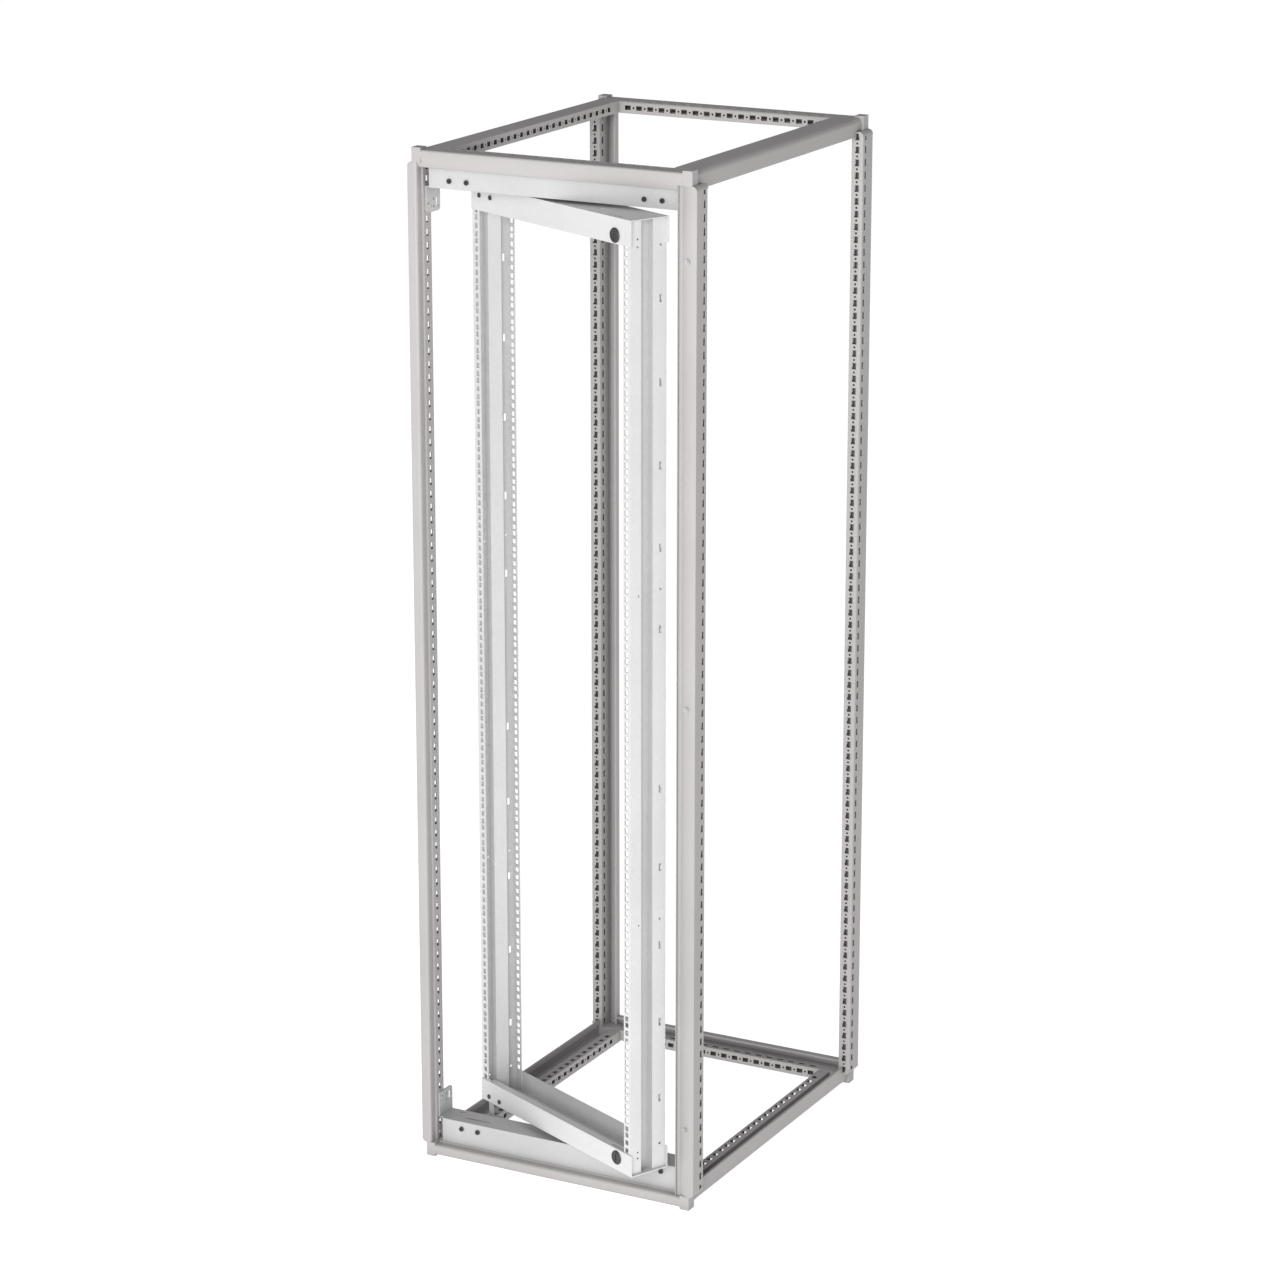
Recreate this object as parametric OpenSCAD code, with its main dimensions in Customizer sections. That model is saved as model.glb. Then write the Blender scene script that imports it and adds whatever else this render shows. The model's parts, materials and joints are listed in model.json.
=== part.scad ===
// Open-frame network rack cabinet with a hinged 19-inch swing frame.
// Millimetres, +Z up, front of the cabinet towards -Y, +X to the right seen from the front.
// The rest position has the swing frame opened by swing_open degrees.

/* [Cabinet frame] */
// Width over the posts
frame_w = 600; // [600:5:700]
// Depth over the posts
frame_d = 746; // [646:10:946]
// Height over the corner blocks
frame_h = 2000; // [1800:50:2200]
// Sheet thickness of the frame profiles
wall = 1.5; // [1.2:0.1:2]
// Tube width of the frame profiles
tube_w = 24; // [22:0.5:26]
// Tube depth of the frame profiles
tube_d = 44.5; // [43:0.5:46]
// Hole pitch along the frame profiles
pitch = 25; // [25:1:25]

/* [Frame perforation] */
// Width of the rectangular system holes
slot_w = 9; // [8:0.5:10]
// Length of the rectangular system holes
slot_l = 13; // [12:0.5:14]
// Diameter of the round holes between them
round_d = 4.5; // [4:0.25:5.5]

/* [Swing frame] */
// Rest opening angle of the swing frame
swing_open = 25; // [20:1:30]
// Hole-to-hole width of the 19-inch mounting pattern
rack_w = 465.1; // [465.1:0.1:465.1]
// Rack units on the mounting profiles
rack_u = 40; // [36:1:40]
// Depth of the mounting profiles
prof_d = 82; // [76:1:82]
// Height of the upper swing channel
top_ch_h = 48; // [44:1:50]
// Height of the lower swing channel
bot_ch_h = 43; // [40:1:46]
// Hinge pin diameter
pin_d = 10; // [8:0.5:12]

/* [Locks] */
// Diameter of the lock rosette
rosette_d = 27.5; // [26:0.5:34]
// Diameter of the turning core
core_d = 19; // [17:0.5:22]
// Reach of the cam from the lock axis
cam_reach = 39; // [36:0.5:40]

/* [Hidden] */
$fn = 48;
eps = 0.01;
hw = frame_w / 2;
hd = frame_d / 2;
plane_gap = 4;                       // corner blocks stand this much proud of the rails
rail_top = frame_h - plane_gap;
rail_bot = plane_gap;
flange_y = hd - tube_d;              // plane of the depth-facing flanges

front_tube_w = 20;                   // tube width in front of the step
step_v = 19;                         // depth of the step
skin_u = 8;                          // the front of the sealed profiles bends back from here
skin_r = 45;                         // on this radius
lip_u = 41;                          // reach of the seal arm
lip_v = 18.5;                        // depth of the seal arm
lip_u_top = 33;                      // reach of the arm on the upper front rail
lip_u_rear = 45;                     // reach of the arm on the rear post
arm_step = tube_w - front_tube_w;    // the arm laps the stepped front of its neighbour
block_u = 29;                        // inner face of the corner blocks from the outer face
row_u = 12.5;                        // hole row from the outer face
slot_v = tube_d - 13.1;              // slot row from the outer plane

block_x0 = hw - 29;                  // corner block, inner and outer faces
block_x1 = hw - 9.5;
block_v = 23;

post_half = frame_h / 2 - plane_gap - tube_w;
post_holes = floor((post_half - row_u) / pitch + 0.4);
rail_holes = floor((hw - 88 - row_u) / pitch + 0.5);
side_holes = floor((flange_y - 30 - row_u) / pitch);

side_out = 14.4;                     // side rails: recess from the post faces
side_in = 68;
side_tube = 44;
side_h = 23.5;
side_row = 12.5;

// swing frame, in its own axes: x along the frame, y into the cabinet, z up
open_cos = cos(swing_open);
open_sin = sin(swing_open);
sheet = 2;
ch_x0 = -12;
ch_x1 = rack_w + 17;
ch_y0 = -sheet;
ch_y1 = prof_d + sheet;
pivot_x = 2;
pivot_y = 12;
hinge_x = -hw + 84.4;                // hinge axis in the cabinet
hinge_y = -hd + 128;
u_h = 44.45;
unit_z0 = 130;                       // bottom of the first rack unit
sw_bot = 87;
sw_top = unit_z0 + rack_u * u_h + 11;
lock_x = rack_w - 30;
lock_z_top = sw_top - 32.5;
lock_z_bot = sw_bot + 25.6;

// mounting channels that carry the swing frame
mc_y0 = -hd + 24;                    // front edge of the end tabs
mc_y1 = mc_y0 + 49;
mc_w = mc_y0 - 5;                    // front wall
mc_wx = hw - 35.5;                   // ends of the front wall
mc_h = 48;
tab = 3;
mc_bot = rail_bot + tube_w;
mc_top = rail_top - tube_w;
mc_screw_x = [-221, -184.5, 184.5, 221];
mc_screw_z = 33;                     // screw row from the rail side of the channel

bush_d = 16;
lug_h = 4.5;                         // door lugs stand this much off the posts
running = 0.05;                      // radial clearance of the hinge pins

// the front corner of the open swing frame reaches out of the frame:
// the origin sits under the middle of everything
front_reach = hinge_y - (ch_x1 - pivot_x) * open_sin + (ch_y0 - pivot_y) * open_cos;
shift_y = -(hd + lug_h + front_reach) / 2;

frame_col = [0.80, 0.79, 0.78];
zinc_col = [0.84, 0.85, 0.86];
dark_col = [0.12, 0.12, 0.13];
screw_col = [0.25, 0.25, 0.26];

// ---------- helpers ----------

// box outline from (x0,y0) to (x1,y1) with corner radii r = [x0y0, x1y0, x1y1, x0y1]
module rbox(x0, y0, x1, y1, r) {
  difference() {
    translate([x0, y0]) square([x1 - x0, y1 - y0]);
    if (r[0] > 0) corner_cut(x0, y0, 1, 1, r[0]);
    if (r[1] > 0) corner_cut(x1, y0, -1, 1, r[1]);
    if (r[2] > 0) corner_cut(x1, y1, -1, -1, r[2]);
    if (r[3] > 0) corner_cut(x0, y1, 1, -1, r[3]);
  }
}

module corner_cut(x, y, sx, sy, r) {
  translate([x, y]) mirror([sx < 0 ? 1 : 0, 0]) mirror([0, sy < 0 ? 1 : 0])
    difference() {
      translate([-1, -1]) square([r + 1, r + 1]);
      translate([r, r]) circle(r);
    }
}

// positions +-(p/2 + p*k) for k = 0..n
module both_ways(n, p) {
  for (k = [0:n]) for (s = [-1, 1]) translate([0, s * (p / 2 + p * k)]) children();
}

// rectangular holes of a perforated face, along y about 0
module slots2d(n, x, w, l) {
  translate([x, 0]) both_ways(n, pitch) square([w, l], center = true);
}

// round holes midway between the rectangular ones
module rounds2d(n, x) {
  translate([x, 0]) for (k = [-n:n]) translate([0, k * pitch]) circle(d = round_d);
}

// sheets in the local section axes: u to +x, v to +y, length along z about 0
module face_v(v, t) translate([0, v, 0]) rotate([90, 0, 0]) linear_extrude(t) children();
module face_u(u, t) translate([u, 0, 0]) rotate([90, 0, 90]) linear_extrude(t) children();
module strip(half) translate([0, -half]) square([1, 2 * half]);

// the three perforated faces and the rear corner that both profile types share
module tube_faces(half, n, r_back, v_in) {
  face_v(tube_d, wall) difference() {
    translate([r_back, -half]) square([tube_w - r_back, 2 * half]);
    slots2d(n, row_u, slot_w, slot_l);
    rounds2d(n, row_u);
  }
  face_u(0, wall) difference() {
    translate([10, -half]) square([tube_d - r_back - 10, 2 * half]);
    slots2d(n, slot_v, slot_w, slot_l + 0.5);
  }
  face_u(tube_w - wall, wall) difference() {
    translate([v_in, -half]) square([tube_d - wall - v_in, 2 * half]);
    slots2d(n, slot_v, slot_w, slot_l + 0.5);
  }
  translate([0, 0, -half]) linear_extrude(2 * half) difference() {
    rbox(0, tube_d - r_back, r_back, tube_d, [0, 0, 0, r_back]);
    translate([r_back, tube_d - r_back]) circle(r_back - wall);
    translate([wall, tube_d - r_back - 1]) square([r_back, 1]);
  }
}

// plain profile: closed tube with a rounded, stepped front
module member_n(half, n, r_out) {
  tube_faces(half, n, 4, step_v);
  translate([0, 0, -half]) linear_extrude(2 * half) {
    difference() {
      rbox(0, 0, front_tube_w, step_v, [r_out, 5, 0, 0]);
      rbox(wall, wall, front_tube_w - wall, step_v + 1, [max(r_out - wall, 0), 5 - wall, 0, 0]);
      translate([-1, 10]) square([1 + wall + eps, step_v]);
    }
    translate([front_tube_w - wall, step_v - wall]) square([tube_w - front_tube_w + wall, wall]);
    translate([tube_w - wall, step_v - wall]) square([wall, wall]);
  }
}

// profile with the seal arm that runs on past the tube; the arm laps its neighbour at end lap
module member_w(half, n, r_out, arm0, arm1, lap, reach, clear_u) {
  tube_faces(half, n, 4, 2 * wall);
  translate([0, 0, -half]) linear_extrude(2 * half) {
    difference() {
      rbox(0, 0, skin_u, 10, [r_out, 0, 0, 0]);
      rbox(wall, wall, skin_u + 1, 11, [max(r_out - wall, 0), 0, 0, 0]);
    }
    front_skin(skin_u, tube_w);
  }
  translate([0, 0, lap < 0 ? arm0 + arm_step : arm0]) linear_extrude(arm1 - arm0 - arm_step)
    seal_arm(reach);
  translate([0, 0, lap < 0 ? arm0 : arm1 - arm_step]) linear_extrude(arm_step) difference() {
    seal_arm(reach);
    translate([0, step_v - wall]) square([60, 5]);
    if (clear_u > 0) translate([0, -1]) square([clear_u, 30]);
  }
}

// curved front sheet between two distances from the side
module front_skin(u0, u1) intersection() {
  difference() {
    translate([skin_u, skin_r]) circle(skin_r);
    translate([skin_u, skin_r]) circle(skin_r - wall);
  }
  translate([u0, -1]) square([u1 - u0, 12]);
}

// seal arm: curved front, seal groove with its outer lip and a short return
module seal_arm(reach) {
  t = wall;
  if (reach < 40) {
    front_skin(tube_w, reach);
    translate([reach - t, 8]) square([t, 6]);
  } else {
    front_skin(tube_w, 31);
    polygon([[30, 6.5], [31, 7], [31, 8], [reach - 1.9, 8], [reach - 1.9, 4], [reach - 1, 3.4],
             [reach, 4.4], [reach, lip_v], [reach - 4, lip_v], [reach - 4, lip_v - t],
             [reach - t, lip_v - t], [reach - t, 8 + t], [30, 8 + t]]);
  }
}

// side rail section: x from the outer face inward, y from the outer plane up
module side_rail_body(lip_h) {
  len = 2 * flange_y;
  translate([0, flange_y, 0]) rotate([90, 0, 0]) linear_extrude(len) {
    difference() {
      rbox(side_out, 0, side_tube, 12, [10, 0, 0, 0]);
      rbox(side_out + wall, wall, side_tube + 1, 13, [10 - wall, 0, 0, 0]);
    }
    translate([side_out, 12]) square([wall, lip_h - 12]);
    translate([side_out + wall, lip_h - wall]) square([1.6, wall]);
    translate([side_out + 3.1, lip_h - 12]) square([wall, 12]);
    translate([side_tube, 0]) square([side_in - side_tube, wall]);
    translate([side_tube, wall]) square([wall, side_h - 2 * wall]);
  }
  // inward flange with the hole row
  translate([side_in - wall, 0, 0]) rotate([90, 0, 90]) linear_extrude(wall) difference() {
    translate([-flange_y, wall]) square([len, side_h - wall]);
    translate([0, side_row]) rotate(-90) slots2d(side_holes, 0, slot_w, slot_l);
    translate([0, side_row]) rotate(-90) rounds2d(side_holes, 0);
  }
  // horizontal wall with the slot row
  translate([0, 0, side_h - wall]) linear_extrude(wall) difference() {
    translate([side_tube, -flange_y]) square([side_in - side_tube - wall, len]);
    slots2d(side_holes, side_in - 9.6, slot_w, slot_l + 0.5);
  }
}

// ---------- cabinet frame ----------

module post_ends() {
  for (s = [-1, 1]) translate([-1, -1, s > 0 ? post_half - 8.5 : -post_half - 1])
    cube([hw - block_x1 + 1, tube_d + 2, 9.5]);
}

module post_plain() difference() {
  member_n(post_half, post_holes, 1.5);
  post_ends();
}

module post_sealed(arm0, arm1, lap, reach) difference() {
  member_w(post_half, post_holes, 1.5, arm0, arm1, lap, reach, block_u);
  post_ends();
}

module post_front_left() shown() color(frame_col)
  translate([-hw, -hd, frame_h / 2]) post_plain();

module post_rear_right() shown() color(frame_col)
  rotate([0, 0, 180]) translate([-hw, -hd, frame_h / 2]) post_plain();

module post_front_right() shown() color(frame_col)
  translate([hw, -hd, frame_h / 2]) mirror([1, 0, 0])
    post_sealed(-post_half - arm_step, post_half, -1, lip_u);

module post_rear_left() shown() color(frame_col)
  rotate([0, 0, 180]) translate([hw, -hd, frame_h / 2]) mirror([1, 0, 0])
    post_sealed(-post_half, post_half + arm_step, 1, lip_u_rear);

module rail_top_front() shown() color(frame_col)
  translate([0, -hd, rail_top]) rotate([0, 90, 0])
    member_w(block_x0, rail_holes, 4, -hw + front_tube_w, hw - lip_u, -1, lip_u_top, 0);

module rail_bottom_front() shown() color(frame_col)
  translate([0, -hd, rail_bot]) rotate([0, -90, 0]) member_n(block_x0, rail_holes, 3);

module rail_top_rear() shown() color(frame_col)
  rotate([0, 0, 180]) translate([0, -hd, rail_top]) rotate([0, 90, 0])
    member_n(block_x0, rail_holes, 3);

module rail_bottom_rear() shown() color(frame_col)
  rotate([0, 0, 180]) translate([0, -hd, rail_bot]) rotate([0, -90, 0])
    member_w(block_x0, rail_holes, 4, -hw + lip_u_rear, hw - front_tube_w, 1, lip_u, 0);

module rail_bottom_right() shown() color(frame_col)
  translate([hw, 0, rail_bot]) mirror([1, 0, 0]) side_rail_body(38);

module rail_bottom_left() shown() color(frame_col)
  translate([-hw, 0, rail_bot]) side_rail_body(38);

module rail_top_right() shown() color(frame_col)
  translate([hw, 0, rail_top]) mirror([1, 0, 0]) mirror([0, 0, 1]) side_rail_body(34);

module rail_top_left() shown() color(frame_col)
  translate([-hw, 0, rail_top]) mirror([0, 0, 1]) side_rail_body(34);

// one corner block for the front left bottom corner; u from the side, v from the front
module corner_block(foot) {
  bw = block_x1 - block_x0;
  u0 = hw - block_x1;
  difference() {
    union() {
      translate([u0, 0, -plane_gap]) rounded_pad(bw, block_v, plane_gap + tube_w);
      // inner part behind the pad, flush with the side rail
      translate([0, tube_d, 0]) rotate([90, 0, 0]) linear_extrude(tube_d - block_v)
        rbox(side_out, 0, block_u, tube_w, [9, 0, 0, 0]);
      // shoulder over the outer strip of the post
      translate([u0, tube_d, tube_w + 8.5]) rotate([90, 0, 0]) linear_extrude(tube_d)
        intersection() {
          circle(u0);
          translate([-u0, -u0]) square([u0, u0]);
        }
    }
    // tapped hole for a levelling foot, castor or plinth screw
    if (foot) translate([u0 + bw / 2, block_v / 2, -plane_gap - 1]) cylinder(d = 10.2, h = 21);
  }
}

module rounded_pad(w, d, h) {
  r = 1.5;
  linear_extrude(h) difference() {
    square([w, d]);
    corner_cut(0, 0, 1, 1, r);
  }
}

module corner_at(sx, sy, top) {
  translate([sx * hw, sy * hd, top ? rail_top : rail_bot])
    mirror([sx > 0 ? 1 : 0, 0, 0]) mirror([0, sy > 0 ? 1 : 0, 0]) mirror([0, 0, top ? 1 : 0])
      corner_block(!top);
}

module corner_block_bottom_front_left() shown() color(frame_col) corner_at(-1, -1, false);
module corner_block_bottom_front_right() shown() color(frame_col) corner_at(1, -1, false);
module corner_block_bottom_rear_left() shown() color(frame_col) corner_at(-1, 1, false);
module corner_block_bottom_rear_right() shown() color(frame_col) corner_at(1, 1, false);
module corner_block_top_front_left() shown() color(frame_col) corner_at(-1, -1, true);
module corner_block_top_front_right() shown() color(frame_col) corner_at(1, -1, true);
module corner_block_top_rear_left() shown() color(frame_col) corner_at(-1, 1, true);
module corner_block_top_rear_right() shown() color(frame_col) corner_at(1, 1, true);

// slotted door lugs on the sealed posts
lug_z = [0.0825, 0.5, 0.918];

module lug() {
  difference() {
    union() {
      translate([0, 2.3, 0]) rotate([90, 0, 0]) cylinder(d = 9, h = 4.8);
      rotate([90, 0, 0]) cylinder(d = 6, h = lug_h);
    }
    translate([-4, -lug_h - 0.5, -0.7]) cube([8, 1.8, 1.4]);
    // seated on the curved front of the post
    translate([18 - skin_u, skin_r, -6]) cylinder(r = skin_r, h = 12);
  }
}

module door_lugs_front() shown() color(zinc_col)
  for (z = lug_z) translate([hw - 18, -hd, z * frame_h]) lug();

module door_lugs_rear() shown() color(zinc_col)
  for (z = lug_z) rotate([0, 0, 180]) translate([hw - 18, -hd, z * frame_h]) lug();

// ---------- swing frame mounting ----------

// channel with its rail flange at z = 0; notched where the rear lip crosses the arm and keeper
module mount_channel(notched) {
  xi = hw - tube_w - tab;
  difference() {
    union() {
      translate([-mc_wx, mc_w, 0]) cube([2 * mc_wx, sheet, mc_h]);
      for (z = [0, mc_h - sheet]) translate([-mc_wx, mc_w, z])
        cube([2 * mc_wx, mc_y0 - mc_w + 1, sheet]);
      translate([-xi, mc_y0, 0]) cube([2 * xi, 17, sheet]);
      translate([-xi, mc_y0, mc_h - sheet]) cube([2 * xi, mc_y1 - mc_y0, sheet]);
      translate([-xi, mc_y1 - sheet, mc_h - 14]) cube([2 * xi, sheet, 14]);
    }
    for (x = mc_screw_x) translate([x, mc_w - 1, mc_screw_z]) rotate([-90, 0, 0])
      cylinder(d = 6.4, h = sheet + 2);
    translate([-hw + 56.5, mc_y1 - 9, mc_h - sheet - 1]) oval(14, 9, sheet + 2);
    translate([-hw + 103.5, mc_y0 + 17.5, mc_h - sheet - 1]) oval(55, 6, sheet + 2);
    for (s = [-1, 1]) translate([s * 132, mc_y0 + 26, mc_h - sheet - 1]) cylinder(d = 6, h = sheet + 2);
    for (x = [-187.5, -62.5, 62.5, 187.5]) translate([x, mc_y0 + 10, -1]) cylinder(d = 6.4, h = sheet + 2);
    if (notched) {
      translate([arm_x0 - 1, mc_y1 - 5, mc_h - 16]) cube([arm_x1 - arm_x0 + 2, 8, 16 - sheet]);
      translate([keep_x - 16, mc_y1 - 5, mc_h - 16]) cube([32, 8, 16 - sheet]);
    }
  }
  for (s = [-1, 1]) mirror([s < 0 ? 1 : 0, 0, 0]) end_tab(xi);
}

// tab folded from the flange that lies on the post: screw holes and an upright slot
module end_tab(x) {
  d = mc_y1 - mc_y0;
  translate([x, mc_y0, 0]) rotate([90, 0, 90]) linear_extrude(tab) difference() {
    rbox(0, mc_h - sheet, d, mc_h + 50, [2, 0, 7, 7]);
    translate([d - 10, mc_h + 33]) square([8, 17], center = true);
    translate([slot_v - mc_y0 - hd, mc_h + tab_screw_z]) circle(d = 5);
    for (z = [26, 40]) translate([26, mc_h + z]) circle(d = 5);
  }
}

module oval(l, w, h) linear_extrude(h) {
  square([l - w, w], center = true);
  for (s = [-1, 1]) translate([s * (l - w) / 2, 0]) circle(d = w);
}

module mount_channel_bottom() shown() color(zinc_col) translate([0, 0, mc_bot]) mount_channel(false);
module mount_channel_top() shown() color(zinc_col)
  translate([0, 0, mc_top]) mirror([0, 0, 1]) mount_channel(true);

module channel_screw() rotate([90, 0, 0]) difference() {
  union() {
    cylinder(d = 9.5, h = 2.6);
    translate([0, 0, -9]) cylinder(d = 6, h = 9.5);
  }
  translate([0, 0, 1.2]) linear_extrude(2) circle(d = 4.4, $fn = 6);
}

module mount_screws_bottom() shown() color(screw_col)
  for (x = mc_screw_x) translate([x, mc_w, mc_bot + mc_screw_z]) channel_screw();
module mount_screws_top() shown() color(screw_col)
  for (x = mc_screw_x) translate([x, mc_w, mc_top - mc_screw_z]) channel_screw();

// screws through the tabs into nuts behind the slot row of the posts
tab_screw_z = frame_h / 2 - 35.5 * pitch - mc_bot - mc_h;
module tab_screw(s) rotate([0, -s * 90, 0]) {
  cylinder(d = 8.5, h = 2.4);
  translate([0, 0, -tab - wall - 4]) cylinder(d = 4.8, h = tab + wall + 4.2);
  translate([-8, -8, -tab - wall - 3]) cube([16, 16, 3]);
}
module tab_screws() shown() color(zinc_col) for (s = [-1, 1]) for (top = [0, 1])
  translate([s * (hw - tube_w - tab), -hd + slot_v, frame_h / 2 + (top * 2 - 1) * 35.5 * pitch])
    tab_screw(s);

// hinge arm: screwed behind the channel wall, carries the pin at its far end
arm_t = 4;
arm_x0 = -237;
arm_x1 = -168;
arm_drop_bot = 12;                   // arm height over the rail side of the channel, lower
arm_drop_top = mc_h - 7;             // and upper

module arm_plate(z, flange_lo, flange_hi) {
  w = arm_x1 - arm_x0;
  difference() {
    union() {
      translate([arm_x0, mc_w + sheet, z]) cube([w, hinge_y - mc_w - sheet, arm_t]);
      translate([hinge_x, hinge_y, z]) cylinder(r = hinge_x - arm_x0, h = arm_t);
      translate([arm_x0, mc_w + sheet, flange_lo]) cube([w, arm_t, flange_hi - flange_lo]);
    }
    for (x = [mc_screw_x[0], mc_screw_x[1]]) translate([x, mc_w, mc_screw_z]) rotate([-90, 0, 0])
      cylinder(d = 6.3, h = 12);
  }
}

module hinge_arm_bottom() shown() color(zinc_col) translate([0, 0, mc_bot])
  arm_plate(arm_drop_bot, arm_drop_bot, mc_screw_z + 9);
module hinge_arm_top() shown() color(zinc_col) translate([0, 0, mc_top]) mirror([0, 0, 1])
  arm_plate(arm_drop_top, mc_screw_z - 12, arm_drop_top + arm_t);

// hinge pins with a collar on the arm
pin_bot_z = mc_bot + arm_drop_bot + arm_t;
pin_top_z = mc_top - arm_drop_top - arm_t;
module hinge_pin_bottom() shown() color(zinc_col) translate([hinge_x, hinge_y, 0]) {
  translate([0, 0, pin_bot_z]) cylinder(d = 18, h = 5);
  translate([0, 0, pin_bot_z]) cylinder(d = pin_d, h = sw_bot + 14 - pin_bot_z);
}
module hinge_pin_top() shown() color(zinc_col) translate([hinge_x, hinge_y, 0]) {
  translate([0, 0, sw_top + 2]) cylinder(d = 18, h = pin_top_z - sw_top - 2);
  translate([0, 0, sw_top - 14]) cylinder(d = pin_d, h = pin_top_z - sw_top + 14);
}

// keepers that the lock cams hook behind when the frame is shut
keep_x = hinge_x + lock_x - pivot_x;
keep_y = hinge_y - pivot_y + 2;
keep_x0 = 176;
keep_x1 = 236;
module keeper_plate(z, flange_lo, flange_hi, lip_z) {
  w = keep_x1 - keep_x0;
  difference() {
    union() {
      translate([keep_x0, mc_w + sheet, flange_lo]) cube([w, arm_t, flange_hi - flange_lo]);
      translate([keep_x - 15, mc_w + sheet, z]) cube([30, keep_y + 3 - mc_w - sheet, arm_t]);
      translate([keep_x - 15, keep_y, min(z, lip_z)]) cube([30, 3, abs(lip_z - z) + arm_t]);
    }
    for (x = [mc_screw_x[2], mc_screw_x[3]]) translate([x, mc_w, mc_screw_z]) rotate([-90, 0, 0])
      cylinder(d = 6.3, h = 12);
  }
}
module keeper_bottom() shown() color(zinc_col) translate([0, 0, mc_bot])
  keeper_plate(arm_drop_bot, arm_drop_bot, mc_screw_z + 9, sw_bot - 2.5 - mc_bot - arm_t);
module keeper_top() shown() color(zinc_col) translate([0, 0, mc_top]) mirror([0, 0, 1])
  keeper_plate(arm_drop_top, mc_screw_z - 12, arm_drop_top + arm_t, mc_top - sw_top - 2.5 - arm_t);

// ---------- swing frame ----------

module in_swing() translate([hinge_x, hinge_y, 0]) rotate([0, 0, -swing_open])
  translate([-pivot_x, -pivot_y, 0]) children();

// three square holes in every rack unit
module unit_holes(x) for (u = [0:rack_u - 1]) for (h = [6.35, 22.225, 38.1])
  translate([x, unit_z0 + u * u_h + h]) square(9.5, center = true);

lip_w = 16;                          // folded lips of the swing channels
prof_out = -12;
prof_in = 9;
groove = 17;                         // depth of the groove in the profile's outer side
groove_y0 = 25;
groove_y1 = 51;
slot_row = 69;
slot_z0 = 231;
slot_pitch = 154;

module profile_body() {
  z0 = sw_bot + sheet;
  z1 = sw_top - sheet;
  for (y = [0, prof_d - sheet]) translate([0, y + sheet, 0]) rotate([90, 0, 0])
    linear_extrude(sheet) difference() {
      translate([prof_out, z0]) square([prof_in - prof_out, z1 - z0]);
      unit_holes(0);
    }
  // groove and the walls either side of it
  translate([0, 0, z0]) linear_extrude(z1 - z0) {
    translate([prof_out, groove_y0 - sheet]) square([groove, sheet]);
    translate([prof_out + groove - sheet, groove_y0]) square([sheet, groove_y1 - groove_y0]);
    translate([prof_out, groove_y1]) square([groove, sheet]);
  }
  translate([prof_out, 0, 0]) rotate([90, 0, 90]) linear_extrude(sheet) difference() {
    translate([sheet, z0]) square([groove_y0 - 2 * sheet, z1 - z0]);
    for (z = [120, 132, 1869, 1883]) translate([17, z]) circle(d = 4);
    for (z = [588, 1225]) translate([19, z]) circle(d = 4);
  }
  translate([prof_out, 0, 0]) rotate([90, 0, 90]) linear_extrude(sheet) difference() {
    translate([groove_y1 + sheet, z0]) square([prof_d - 2 * sheet - groove_y1, z1 - z0]);
    for (k = [0:10]) if (k != 5) translate([slot_row, slot_z0 + k * slot_pitch])
      square([6, 15], center = true);
    for (z = [138, 591, 1231, 1868]) translate([slot_row, z]) circle(d = 5);
  }
}

module profile_left() shown() color(zinc_col) in_swing() profile_body();
module profile_right() shown() color(zinc_col) in_swing() translate([rack_w, 0, 0]) mirror([1, 0, 0])
  profile_body();

module channel_walls(z0, z1, open_up) {
  l = ch_x1 - ch_x0;
  d = ch_y1 - ch_y0;
  zw = open_up ? z0 : z1 - sheet;
  translate([ch_x0, ch_y0, z0]) cube([l, sheet, z1 - z0]);
  translate([ch_x0, ch_y1 - sheet, z0]) cube([l, sheet, z1 - z0]);
  translate([ch_x0, ch_y0, zw]) cube([l, d, sheet]);
}

module lock_bore(z) translate([lock_x, ch_y0 - 1, z]) rotate([-90, 0, 0]) cylinder(d = core_d + 2, h = 5);
// way out for the turning cam
module cam_slot(z) translate([lock_x - cam_reach, 4, z - 3]) cube([cam_reach + 9, 8, 6]);
module screw_bores(z) for (x = [14, 49]) translate([x, ch_y0 - 1, z]) rotate([-90, 0, 0])
  cylinder(d = 6, h = 4);

module swing_channel_top() shown() color(zinc_col) in_swing() difference() {
  union() {
    channel_walls(sw_top - top_ch_h, sw_top, false);
    // folded lip along the lower edge, between the profiles
    translate([prof_in + 3, ch_y0, sw_top - top_ch_h]) cube([rack_w - 2 * prof_in - 6, lip_w, sheet]);
  }
  lock_bore(lock_z_top);
  screw_bores(sw_top - 19);
  translate([pivot_x, pivot_y, sw_top - 3]) cylinder(d = bush_d, h = 4);
  cam_slot(sw_top);
  translate([rack_w - 107, 29, sw_top - 3]) oval(14, 9, 4);
}

module swing_channel_bottom() shown() color(zinc_col) in_swing() difference() {
  union() {
    channel_walls(sw_bot, sw_bot + bot_ch_h, true);
    translate([prof_in + 3, ch_y0, sw_bot + bot_ch_h - sheet]) cube([rack_w - 2 * prof_in - 6, lip_w, sheet]);
  }
  lock_bore(lock_z_bot);
  screw_bores(sw_bot + 11);
  translate([pivot_x, pivot_y, sw_bot - 1]) cylinder(d = bush_d, h = 4);
  cam_slot(sw_bot);
  translate([lock_x, 6.5, sw_bot + bot_ch_h - 1]) cube([50, 6, 4], center = true);
  translate([178, 14, sw_bot + bot_ch_h - 1]) cube([9, 6, 4], center = true);
}

module bush(z0, z1, flange_up) translate([pivot_x, pivot_y, 0]) difference() {
  union() {
    translate([0, 0, z0]) cylinder(d = bush_d, h = z1 - z0);
    translate([0, 0, flange_up ? z0 + sheet : z1 - sheet - 2]) cylinder(d = bush_d + 3, h = 2);
  }
  translate([0, 0, z0 - 1]) cylinder(d = pin_d + 2 * running, h = z1 - z0 + 2);
}
module hinge_bush_bottom() shown() color(dark_col) in_swing() bush(sw_bot, sw_bot + 12, true);
module hinge_bush_top() shown() color(dark_col) in_swing() bush(sw_top - 12, sw_top, false);

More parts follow.
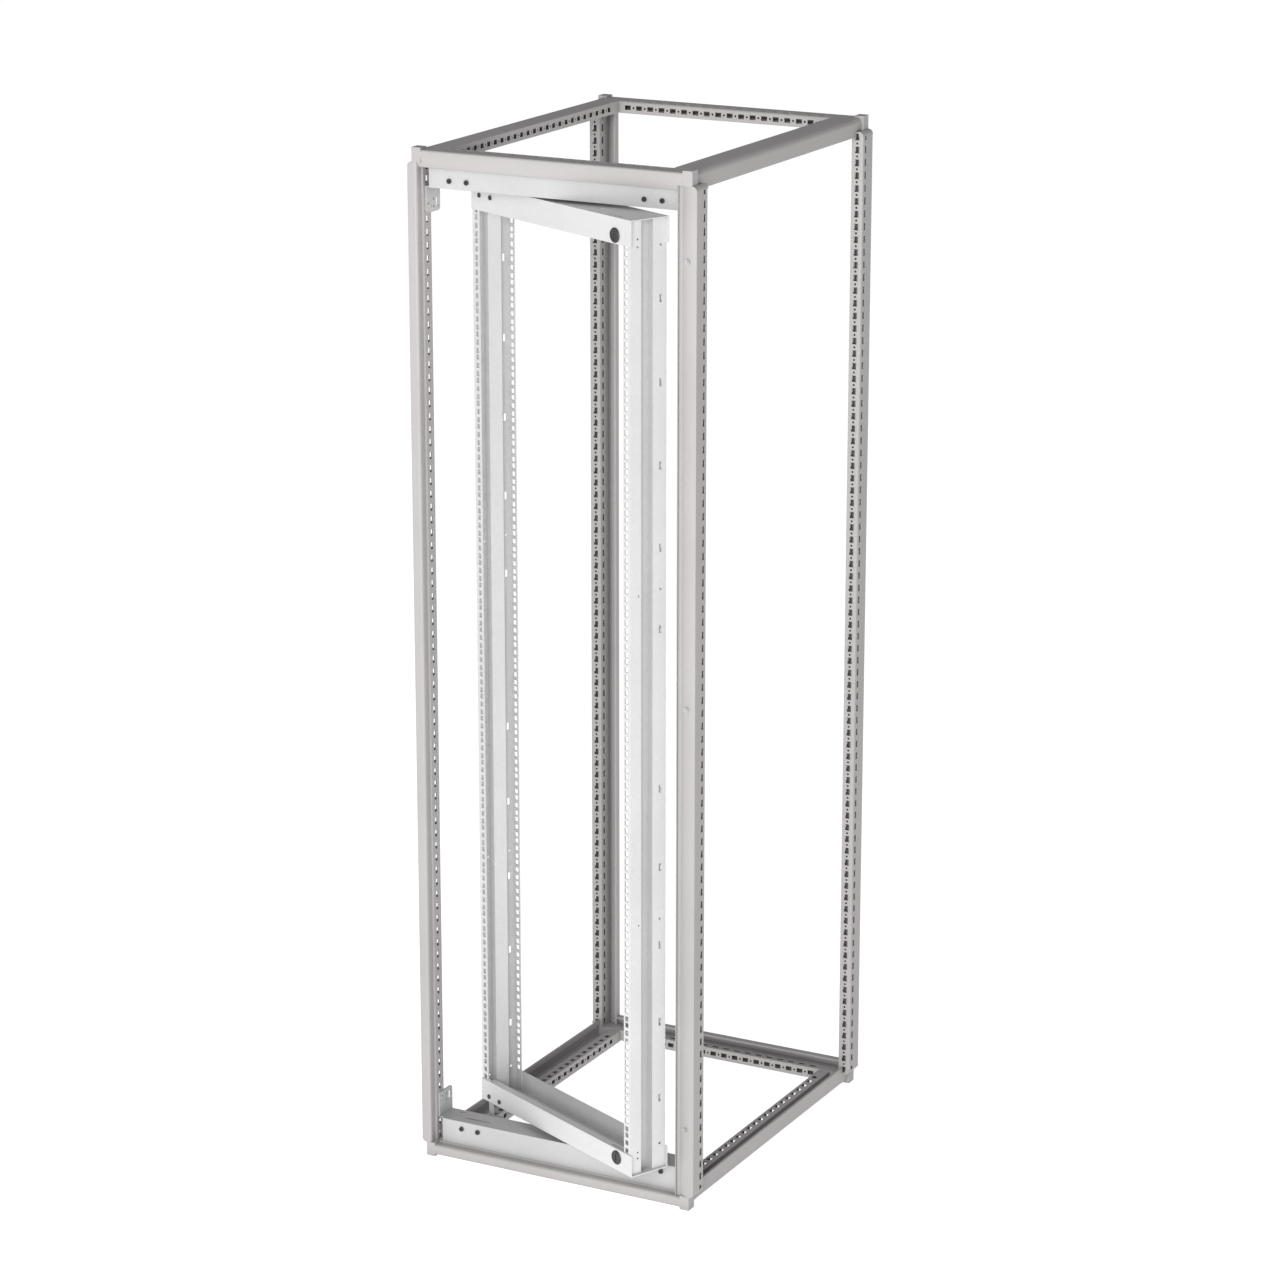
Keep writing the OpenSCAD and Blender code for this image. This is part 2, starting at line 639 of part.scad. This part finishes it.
module frame_screw() rotate([90, 0, 0]) {
  cylinder(d = 9, h = 1.6);
  translate([0, 0, -sheet]) cylinder(d = 5.6, h = sheet);
}
module swing_screws() shown() color(screw_col) in_swing()
  for (x = [14, 49]) for (z = [sw_top - 19, sw_bot + 11]) translate([x, ch_y0, z]) frame_screw();

// ---------- quarter-turn locks ----------

module at_lock(z) in_swing() translate([lock_x, ch_y0, z]) rotate([90, 0, 0]) children();

// rosette and threaded body; z points out of the front face
module lock_body() difference() {
  union() {
    cylinder(d = rosette_d, h = 1.5);
    translate([0, 0, 1.5]) cylinder(d1 = rosette_d, d2 = rosette_d - 2, h = 1);
    translate([0, 0, -5]) cylinder(d = core_d + 2, h = 5);
  }
  translate([0, 0, -6]) cylinder(d = core_d - 4 + 2 * running, h = 13);
  translate([0, 0, 0.5]) cylinder(d = core_d + 2 * running, h = 5);
}
module lock_core() {
  difference() {
    union() {
      translate([0, 0, 0.55]) cylinder(d = core_d, h = 1.7);
      translate([0, 0, -5]) cylinder(d = core_d - 4, h = 5.7);
    }
    translate([0, 0, 2.4]) cube([2.4, core_d - 4, 2.4], center = true);
  }
  translate([0, 0, -15.5]) linear_extrude(10.5) square(8, center = true);
}
// cam bar, pointing back along the frame when unlocked
module lock_cam() {
  translate([0, 0, -11]) linear_extrude(3) difference() {
    union() {
      circle(d = 18);
      translate([-cam_reach, -7]) square([cam_reach, 14]);
    }
    square(8, center = true);
  }
  cam_nut();
}
module cam_nut() translate([0, 0, -15]) linear_extrude(4) difference() {
  circle(d = 15, $fn = 6);
  square(8, center = true);
}

module lock_body_top() shown() color(dark_col) at_lock(lock_z_top) lock_body();
module lock_body_bottom() shown() color(dark_col) at_lock(lock_z_bot) lock_body();
module lock_core_top() shown() color(dark_col) at_lock(lock_z_top) lock_core();
module lock_core_bottom() shown() color(dark_col) at_lock(lock_z_bot) lock_core();
module lock_cam_top() shown() color(zinc_col) at_lock(lock_z_top) lock_cam();
module lock_cam_bottom() shown() color(zinc_col) at_lock(lock_z_bot) lock_cam();

module shown() translate([0, shift_y, 0]) children();

post_front_left();
post_front_right();
post_rear_left();
post_rear_right();
rail_top_front();
rail_top_rear();
rail_top_left();
rail_top_right();
rail_bottom_front();
rail_bottom_rear();
rail_bottom_left();
rail_bottom_right();
corner_block_bottom_front_left();
corner_block_bottom_front_right();
corner_block_bottom_rear_left();
corner_block_bottom_rear_right();
corner_block_top_front_left();
corner_block_top_front_right();
corner_block_top_rear_left();
corner_block_top_rear_right();
door_lugs_front();
door_lugs_rear();
mount_channel_top();
mount_channel_bottom();
mount_screws_top();
mount_screws_bottom();
tab_screws();
hinge_arm_top();
hinge_arm_bottom();
hinge_pin_top();
hinge_pin_bottom();
keeper_top();
keeper_bottom();
swing_channel_top();
swing_channel_bottom();
profile_left();
profile_right();
hinge_bush_top();
hinge_bush_bottom();
swing_screws();
lock_body_top();
lock_body_bottom();
lock_core_top();
lock_core_bottom();
lock_cam_top();
lock_cam_bottom();
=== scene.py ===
"""Looks of the network rack cabinet frame with its swing frame."""

import json
import math

import bpy
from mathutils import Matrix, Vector


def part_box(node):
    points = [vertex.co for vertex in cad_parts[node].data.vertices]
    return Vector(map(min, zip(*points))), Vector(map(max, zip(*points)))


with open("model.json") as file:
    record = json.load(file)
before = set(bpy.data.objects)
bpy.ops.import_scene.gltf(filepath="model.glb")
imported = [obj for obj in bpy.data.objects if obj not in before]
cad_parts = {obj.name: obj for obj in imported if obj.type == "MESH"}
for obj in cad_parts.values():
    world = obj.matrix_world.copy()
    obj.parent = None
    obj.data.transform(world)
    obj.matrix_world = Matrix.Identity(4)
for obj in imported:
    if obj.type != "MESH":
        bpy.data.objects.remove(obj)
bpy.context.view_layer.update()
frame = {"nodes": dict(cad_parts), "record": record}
scene = bpy.context.scene
record = frame["record"]


# ---------- camera ----------

TURN_RIGHT = 27.869      # degrees to the right of the cabinet's front
LOOK_DOWN = 16.090       # degrees above the horizon
FROM_FRONT = Vector((3.5604, -6.3821, 3.2035))   # metres from the middle of the front, at floor level
SENSOR_WIDTH = 36        # millimetres
FOCAL_LENGTH = 114.54    # millimetres
SIGHT_LIMIT = 60         # metres


def add_camera():
    """Camera that sees the front and the right side from above."""
    left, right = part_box("post_front_left"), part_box("post_front_right")
    front = Vector(((left[0].x + right[1].x) / 2, left[0].y, 0))
    data = bpy.data.cameras.new("camera")
    data.sensor_width = SENSOR_WIDTH
    data.lens = FOCAL_LENGTH
    data.clip_end = SIGHT_LIMIT
    camera = bpy.data.objects.new("camera", data)
    camera.location = front + FROM_FRONT
    camera.rotation_euler = (math.radians(90 - LOOK_DOWN), 0, math.radians(TURN_RIGHT))
    scene.collection.objects.link(camera)
    scene.camera = camera


# ---------- materials ----------
# lengths are in metres, the scales of the noises in cells per metre

BEVEL_SAMPLES = 6
RECESS_SAMPLES = 8
RIM_GAIN = 5.0                        # how fast an edge mask rises with the turn of the normal
PATCHES = (-1.0, 2.2)                 # spread that leaves some stretches of an edge unworn
BARE_PAINT = (0.58, 0.57, 0.56, 1.0)  # paint rubbed pale
CUT_EDGE = (0.36, 0.36, 0.36, 1.0)    # sheet edge without zinc
WHITE = (1.0, 1.0, 1.0)


def new_material(name):
    """New material with its node tree and its shader."""
    material = bpy.data.materials.new(name)
    material.use_nodes = True
    tree = material.node_tree
    return material, tree, tree.nodes["Principled BSDF"]


def node(tree, kind, **settings):
    """New shader node with its settings."""
    n = tree.nodes.new(kind)
    for key, value in settings.items():
        setattr(n, key, value)
    return n


def noise(tree, coords, scale, detail=2.0, roughness=0.5):
    """Noise fixed to the piece it lies on."""
    n = node(tree, "ShaderNodeTexNoise")
    n.inputs["Scale"].default_value = scale
    n.inputs["Detail"].default_value = detail
    n.inputs["Roughness"].default_value = roughness
    tree.links.new(coords.outputs["Object"], n.inputs["Vector"])
    return n


def ramp(tree, source, low, high, at=(0.3, 0.7)):
    """Colour from low to high between two positions of the source value."""
    n = node(tree, "ShaderNodeValToRGB")
    n.color_ramp.elements[0].position, n.color_ramp.elements[1].position = at
    n.color_ramp.elements[0].color = (*low, 1)
    n.color_ramp.elements[1].color = (*high, 1)
    tree.links.new(source, n.inputs["Fac"])
    return n


def span(tree, source, low, high):
    """Source value stretched from low to high."""
    n = node(tree, "ShaderNodeMapRange")
    n.inputs["To Min"].default_value = low
    n.inputs["To Max"].default_value = high
    tree.links.new(source, n.inputs["Value"])
    return n


def soft_normal(tree, radius):
    """Normal of a surface whose edges are rounded by the radius, in metres."""
    n = node(tree, "ShaderNodeBevel", samples=BEVEL_SAMPLES)
    n.inputs["Radius"].default_value = radius
    return n


def bump(tree, shader, height, strength, distance, radius):
    """Surface relief over rounded edges."""
    edge = soft_normal(tree, radius)
    b = node(tree, "ShaderNodeBump")
    b.inputs["Strength"].default_value = strength
    b.inputs["Distance"].default_value = distance
    tree.links.new(height, b.inputs["Height"])
    tree.links.new(edge.outputs["Normal"], b.inputs["Normal"])
    tree.links.new(b.outputs["Normal"], shader.inputs["Normal"])


def math_node(tree, operation, a, b):
    """Result of a clamped operation; a and b are sockets or plain numbers."""
    n = node(tree, "ShaderNodeMath", operation=operation, use_clamp=True)
    for socket, value in zip(n.inputs, (a, b)):
        if isinstance(value, float):
            socket.default_value = value
        else:
            tree.links.new(value, socket)
    return n.outputs["Value"]


def worn_edges(tree, coords, radius, patch_scale, amount):
    """Mask that is high along outer edges, broken up by a patchy noise."""
    edge = soft_normal(tree, radius)
    plain = node(tree, "ShaderNodeNewGeometry")
    turn = node(tree, "ShaderNodeVectorMath", operation="DOT_PRODUCT")
    tree.links.new(edge.outputs["Normal"], turn.inputs[0])
    tree.links.new(plain.outputs["Normal"], turn.inputs[1])
    rim = math_node(tree, "SUBTRACT", 1.0, turn.outputs["Value"])
    rim = math_node(tree, "MULTIPLY", rim, RIM_GAIN)
    patch = noise(tree, coords, patch_scale, detail=4.0, roughness=0.65)
    broken = span(tree, patch.outputs["Fac"], *PATCHES)
    broken.clamp = True
    worn = math_node(tree, "MULTIPLY", rim, broken.outputs["Result"])
    return math_node(tree, "MULTIPLY", worn, amount)


def blend(tree, factor, first, second, kind="MIX"):
    """Colour mix; factor, first and second are sockets or plain values."""
    n = node(tree, "ShaderNodeMix", data_type="RGBA", blend_type=kind)
    for socket, value in ((n.inputs[0], factor), (n.inputs[6], first), (n.inputs[7], second)):
        if isinstance(value, (float, tuple)):
            socket.default_value = value
        else:
            tree.links.new(value, socket)
    return n.outputs[2]


def painted_recess_shade(tree, base, reach, darkest):
    """Painted shade: darken a colour in grooves, folds and corners within reach, where shade falls."""
    recess = node(tree, "ShaderNodeAmbientOcclusion", samples=RECESS_SAMPLES)
    recess.inputs["Distance"].default_value = reach
    shade = ramp(tree, recess.outputs["AO"], (darkest,) * 3, WHITE, at=(0.25, 0.85))
    return blend(tree, 1.0, base, shade.outputs["Color"], "MULTIPLY")


def powder_coat():
    """Light grey powder coat: orange peel, faint clouds, dust specks, rubbed edges, painted shade in
    recesses.
    """
    material, tree, shader = new_material("powder_coat")
    coords = node(tree, "ShaderNodeTexCoord")
    cloud = noise(tree, coords, scale=3.0, detail=4.0, roughness=0.6)
    peel = noise(tree, coords, scale=850.0)
    speck = noise(tree, coords, scale=2600.0, detail=1.0)
    colour = ramp(tree, cloud.outputs["Fac"], (0.348, 0.334, 0.333), (0.379, 0.364, 0.363))
    grain = ramp(tree, speck.outputs["Fac"], (0.90, 0.90, 0.90), WHITE, at=(0.25, 0.5))
    base = blend(tree, 0.8, colour.outputs["Color"], grain.outputs["Color"], "MULTIPLY")
    worn = worn_edges(tree, coords, radius=0.0009, patch_scale=35.0, amount=0.35)
    base = blend(tree, worn, base, BARE_PAINT)
    # painted shade: the coat is darkened in grooves, folds and corners
    base = painted_recess_shade(tree, base, reach=0.03, darkest=0.70)
    tree.links.new(base, shader.inputs["Base Color"])
    rough = span(tree, peel.outputs["Fac"], low=0.44, high=0.60)
    tree.links.new(rough.outputs["Result"], shader.inputs["Roughness"])
    bump(tree, shader, peel.outputs["Fac"], strength=0.28, distance=0.0002, radius=0.0006)
    return material


def zinc_sheet(name, low, high):
    """Zinc-plated sheet: faint crystal spangle, rolling grain, handling marks, dull cut edges, painted
    shade in recesses.
    """
    material, tree, shader = new_material(name)
    coords = node(tree, "ShaderNodeTexCoord")
    spangle = node(tree, "ShaderNodeTexVoronoi")
    spangle.inputs["Scale"].default_value = 240.0
    tree.links.new(coords.outputs["Object"], spangle.inputs["Vector"])
    crystal = ramp(tree, spangle.outputs["Color"], (0.93, 0.933, 0.936), WHITE, at=(0.0, 1.0))
    cloud = noise(tree, coords, scale=5.0, detail=5.0, roughness=0.6)
    grain = noise(tree, coords, scale=1400.0)
    marks = noise(tree, coords, scale=60.0, detail=6.0, roughness=0.7)
    colour = ramp(tree, cloud.outputs["Fac"], (low,) * 3, (high,) * 3)
    base = blend(tree, 0.75, colour.outputs["Color"], crystal.outputs["Color"], "MULTIPLY")
    worn = worn_edges(tree, coords, radius=0.0006, patch_scale=50.0, amount=0.7)
    base = blend(tree, worn, base, CUT_EDGE)
    # painted shade: the zinc is darkened in grooves, folds and corners
    base = painted_recess_shade(tree, base, reach=0.05, darkest=0.72)
    tree.links.new(base, shader.inputs["Base Color"])
    rough = span(tree, marks.outputs["Fac"], low=0.42, high=0.60)
    tree.links.new(rough.outputs["Result"], shader.inputs["Roughness"])
    shader.inputs["Metallic"].default_value = 0.45
    bump(tree, shader, grain.outputs["Fac"], strength=0.15, distance=0.0001, radius=0.00025)
    return material


def dark_steel():
    """Blackened screws and pins with rubbed high spots."""
    material, tree, shader = new_material("dark_steel")
    coords = node(tree, "ShaderNodeTexCoord")
    wear = noise(tree, coords, scale=500.0, detail=5.0, roughness=0.6)
    colour = ramp(tree, wear.outputs["Fac"], (0.045, 0.045, 0.047), (0.11, 0.11, 0.112), at=(0.45, 0.75))
    tree.links.new(colour.outputs["Color"], shader.inputs["Base Color"])
    rough = span(tree, wear.outputs["Fac"], low=0.3, high=0.55)
    tree.links.new(rough.outputs["Result"], shader.inputs["Roughness"])
    shader.inputs["Metallic"].default_value = 0.8
    bump(tree, shader, wear.outputs["Fac"], strength=0.2, distance=0.0001, radius=0.0003)
    return material


def black_plastic():
    """Moulded glass-filled plastic of the locks."""
    material, tree, shader = new_material("black_plastic")
    coords = node(tree, "ShaderNodeTexCoord")
    spark = noise(tree, coords, scale=1600.0, detail=3.0)
    colour = ramp(tree, spark.outputs["Fac"], (0.012, 0.012, 0.013), (0.03, 0.03, 0.032))
    tree.links.new(colour.outputs["Color"], shader.inputs["Base Color"])
    rough = span(tree, spark.outputs["Fac"], low=0.35, high=0.5)
    tree.links.new(rough.outputs["Result"], shader.inputs["Roughness"])
    bump(tree, shader, spark.outputs["Fac"], strength=0.3, distance=0.0001, radius=0.0004)
    return material


def dress_nodes():
    """Give every piece of the frame the finish of its material slot."""
    finishes = {"painted_frame": powder_coat(),
                "zinc_sheet": zinc_sheet("zinc_sheet", low=0.64, high=0.69),
                "dark_steel": dark_steel(),
                "black_plastic": black_plastic()}
    # the sheet parts fixed to the cabinet get a darker zinc than those of the swing frame
    dull = zinc_sheet("zinc_sheet_dull", low=0.47, high=0.52)
    fixed = record["behaviour"]["bodies"]["cabinet"]
    for part in record["subparts"]:
        name, slot = part["node"], part["material_slot"]
        mesh = frame["nodes"][name].data
        mesh.materials.clear()
        mesh.materials.append(dull if slot == "zinc_sheet" and name in fixed else finishes[slot])


# ---------- stage ----------

FLOOR_SIZE = 60          # metres
FLOOR_DROP = 0.0005      # metres below the feet
FLOOR_GREY = 0.80
FLOOR_GLOW = 0.74        # lifts the floor to an even white
SKY = 0.34
KEY_PLACE = (1.8, -6.9, 3.0)
KEY_TARGET = (0, 0, 1.0)
KEY_SIZE = (3.2, 3.2)
KEY_POWER = 510          # watts


def add_floor():
    """Plain pale floor, just below the feet."""
    bpy.ops.mesh.primitive_plane_add(size=FLOOR_SIZE, location=(0, 0, -FLOOR_DROP))
    floor = bpy.context.object
    floor.name = "floor"
    material, _, shader = new_material("floor")
    shader.inputs["Base Color"].default_value = (FLOOR_GREY, FLOOR_GREY, FLOOR_GREY, 1)
    shader.inputs["Roughness"].default_value = 0.9
    shader.inputs["Specular IOR Level"].default_value = 0.0
    shader.inputs["Emission Color"].default_value = (*WHITE, 1)
    shader.inputs["Emission Strength"].default_value = FLOOR_GLOW
    floor.data.materials.append(material)


def add_area(name, location, target, size, power):
    """Soft rectangular light that faces the target."""
    light = bpy.data.lights.new(name, "AREA")
    light.shape = "RECTANGLE"
    light.size, light.size_y = size
    light.energy = power
    lamp = bpy.data.objects.new(name, light)
    lamp.location = location
    lamp.rotation_euler = (Vector(target) - Vector(location)).to_track_quat("-Z", "Y").to_euler()
    scene.collection.objects.link(lamp)


def light_scene():
    """Even sky and one large soft light at the front right."""
    world = bpy.data.worlds.new("studio")
    world.use_nodes = True
    sky = world.node_tree.nodes["Background"]
    sky.inputs["Color"].default_value = (*WHITE, 1)
    sky.inputs["Strength"].default_value = SKY
    scene.world = world
    add_area("key", KEY_PLACE, KEY_TARGET, KEY_SIZE, KEY_POWER)


scene.view_settings.view_transform = "Standard"
add_camera()
dress_nodes()
add_floor()
light_scene()
